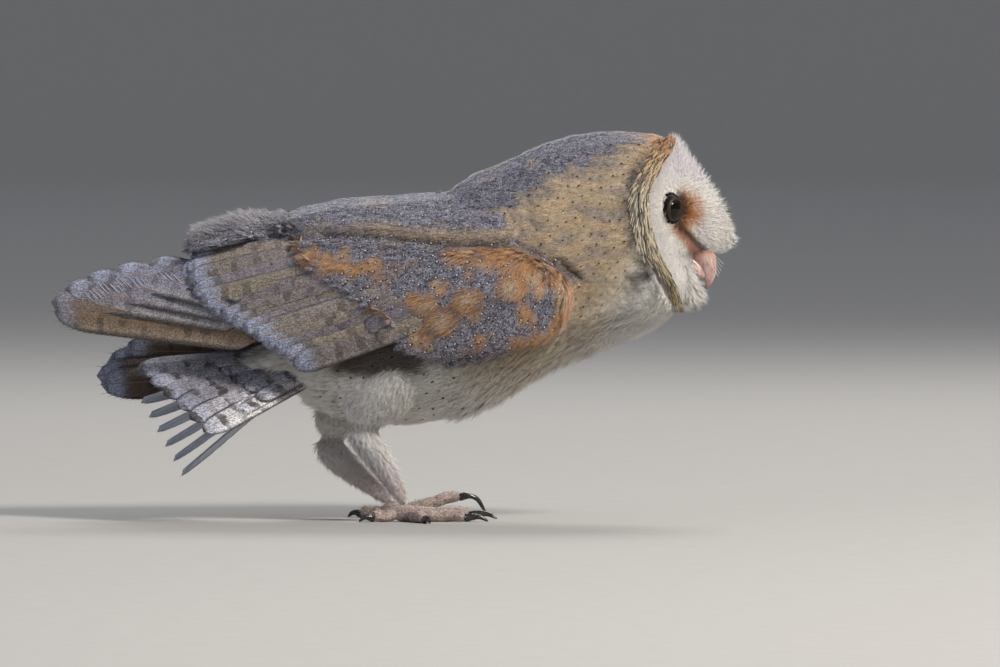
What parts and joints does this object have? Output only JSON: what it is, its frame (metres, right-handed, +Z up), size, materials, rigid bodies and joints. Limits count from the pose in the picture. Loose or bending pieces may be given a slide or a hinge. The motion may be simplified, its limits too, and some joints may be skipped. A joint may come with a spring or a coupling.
{
  "type": "barn owl, still life-size model",
  "caption": "Barn owl standing and leaning forward with folded wings and a half-spread tail, a still life-size bird model that rests on its feet.",
  "frame": {"origin": "the point on the floor under the middle of the bird's whole outline, bill to wing tips and side to side", "axes": "+X is the way the bird faces, bill to tail along X; +Y is the bird's left; +Z is up from the floor that its feet stand on"},
  "size_m": [0.3789, 0.1225, 0.2142],
  "materials": {
    "plumage_grey": "soft blue-grey feathers with fine dark and pale flecks and black-and-white drops",
    "plumage_buff": "soft golden-buff feathers with small dark dots",
    "plumage_white": "soft loose white feathers with a few dark dots",
    "plumage_barred": "firm flight feathers, flecked grey and buff with darker bars and a satin shaft",
    "bill_horn": "satin pinkish horn",
    "toe_skin": "scaly pinkish-grey skin with sparse white bristles",
    "claw_horn": "polished dark slate horn",
    "eye_dark": "wet, clear, almost black"
  },
  "bodies": {
    "root": {"trunk": "plumage_white", "neck": "plumage_buff", "head": "plumage_grey", "facial_disc": "plumage_white", "bill_upper": "bill_horn", "bill_lower": "bill_horn", "mantle": "plumage_grey", "tail_coverts": "plumage_buff", "tail_right": "plumage_barred", "tail_left": "plumage_barred", "eye_right": "eye_dark", "eye_left": "eye_dark", "wing_right_coverts": "plumage_grey", "wing_left_coverts": "plumage_grey", "wing_right_tertials": "plumage_grey", "wing_left_tertials": "plumage_grey", "wing_right_secondaries": "plumage_barred", "wing_left_secondaries": "plumage_barred", "wing_right_primaries": "plumage_barred", "wing_left_primaries": "plumage_barred", "thigh_right": "plumage_white", "thigh_left": "plumage_white", "tarsus_right": "plumage_white", "tarsus_left": "plumage_white", "foot_right": "toe_skin", "foot_left": "toe_skin", "toe_right_inner": "toe_skin", "toe_right_middle": "toe_skin", "toe_right_outer": "toe_skin", "toe_right_rear": "toe_skin", "toe_left_inner": "toe_skin", "toe_left_middle": "toe_skin", "toe_left_outer": "toe_skin", "toe_left_rear": "toe_skin", "claw_right_inner": "claw_horn", "claw_right_middle": "claw_horn", "claw_right_outer": "claw_horn", "claw_right_rear": "claw_horn", "claw_left_inner": "claw_horn", "claw_left_middle": "claw_horn", "claw_left_outer": "claw_horn", "claw_left_rear": "claw_horn"}
  },
  "joints": []
}
